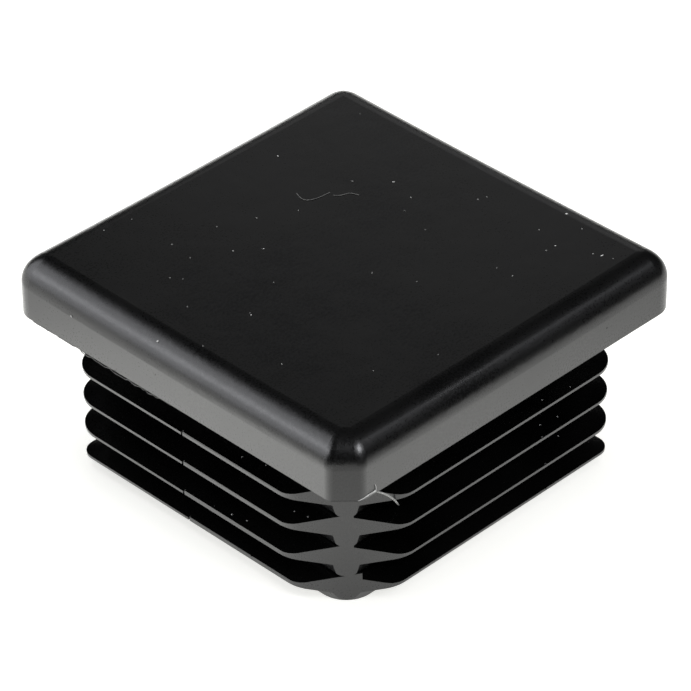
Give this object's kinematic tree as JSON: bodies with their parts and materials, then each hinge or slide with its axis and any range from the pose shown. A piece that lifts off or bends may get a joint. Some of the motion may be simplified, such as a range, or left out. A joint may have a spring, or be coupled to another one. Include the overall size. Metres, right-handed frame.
{
  "type": "tube end cap",
  "caption": "Square black plastic cap that pushes into the open end of a square tube, held by flexible fins round a hollow stem.",
  "frame": {"origin": "centre of the head's underside, the plane that seats on the end of the tube", "axes": "+Z out of the tube through the top of the head, -Z down the stem into the tube, X and Y along the sides of the square; the two cut corners of the fins lie at -X -Y and +X +Y"},
  "size_m": [0.04, 0.04, 0.0222],
  "materials": {
    "tube_end_cap": "black moulded polyethylene, smooth with a soft sheen"
  },
  "bodies": {
    "root": {"tube_end_cap": "tube_end_cap"}
  },
  "joints": []
}
